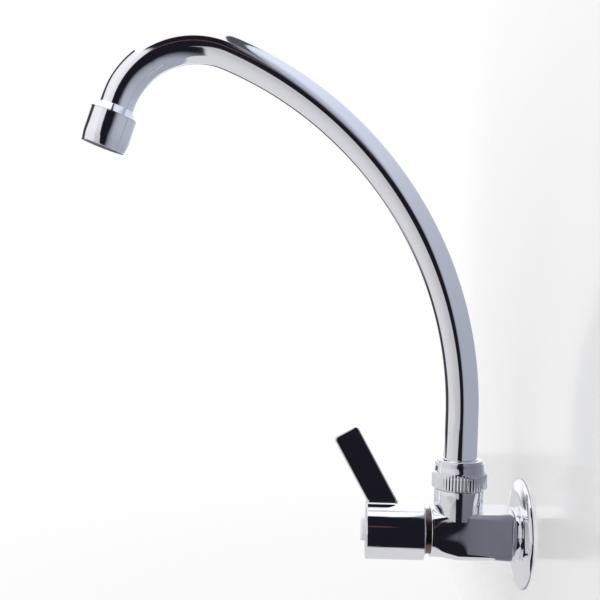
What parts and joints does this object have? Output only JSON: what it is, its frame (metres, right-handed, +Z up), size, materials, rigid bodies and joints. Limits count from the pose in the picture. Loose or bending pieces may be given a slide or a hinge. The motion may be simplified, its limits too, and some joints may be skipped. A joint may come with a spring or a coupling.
{
  "type": "wall-mounted kitchen tap",
  "caption": "Chromed wall tap with a high swivel spout, an aerator, a round wall flange and a lever handle that turns a ceramic-disc valve.",
  "frame": {"origin": "on the wall plane, at the centre of the inlet thread", "axes": "+Y into the wall along the inlet, +Z up along the spout's swivel, +X to the right for a person who faces the wall; the handle and spout point to -Y"},
  "size_m": [0.0588, 0.2559, 0.2942],
  "materials": {
    "chrome": "polished",
    "brass": "machined",
    "steel": "machined",
    "cap_plastic": "gloss",
    "slip_plastic": "matt",
    "aerator_plastic": "matt",
    "ceramic": "polished",
    "rubber": "matt"
  },
  "bodies": {
    "body": {"tap_body": "chrome", "wall_flange": "chrome", "wall_washer": "rubber", "union_nut": "chrome", "lower_slip_ring": "slip_plastic", "upper_slip_ring": "slip_plastic", "headwork_bonnet": "brass", "bonnet_seal": "rubber", "fixed_disc": "ceramic", "seat_seal": "rubber", "thrust_washer": "slip_plastic"},
    "handle": {"handle": "chrome", "spindle": "brass", "spindle_seals": "rubber", "spindle_circlip": "steel", "moving_disc": "ceramic", "spline_insert": "slip_plastic", "handle_screw": "steel", "index_cap": "cap_plastic"},
    "spout": {"spout_tube": "chrome", "spout_tail": "brass", "spout_seals": "rubber", "outlet_adapter": "chrome", "aerator_housing": "chrome", "aerator_washer": "rubber", "aerator_cage": "aerator_plastic", "aerator_diffuser": "aerator_plastic", "aerator_screens": "steel", "aerator_filter": "steel"}
  },
  "joints": [
    {"name": "handle_turn", "type": "hinge", "parent": "body", "child": "handle", "pos_m": [0, -0.0615, 0], "axis": [0, -1, 0], "range_deg": [0, 90]},
    {"name": "spout_swivel", "type": "hinge", "parent": "body", "child": "spout", "pos_m": [0, -0.0345, 0.0332], "axis": [0, 0, 1], "range_deg": [-95, 95]}
  ]
}
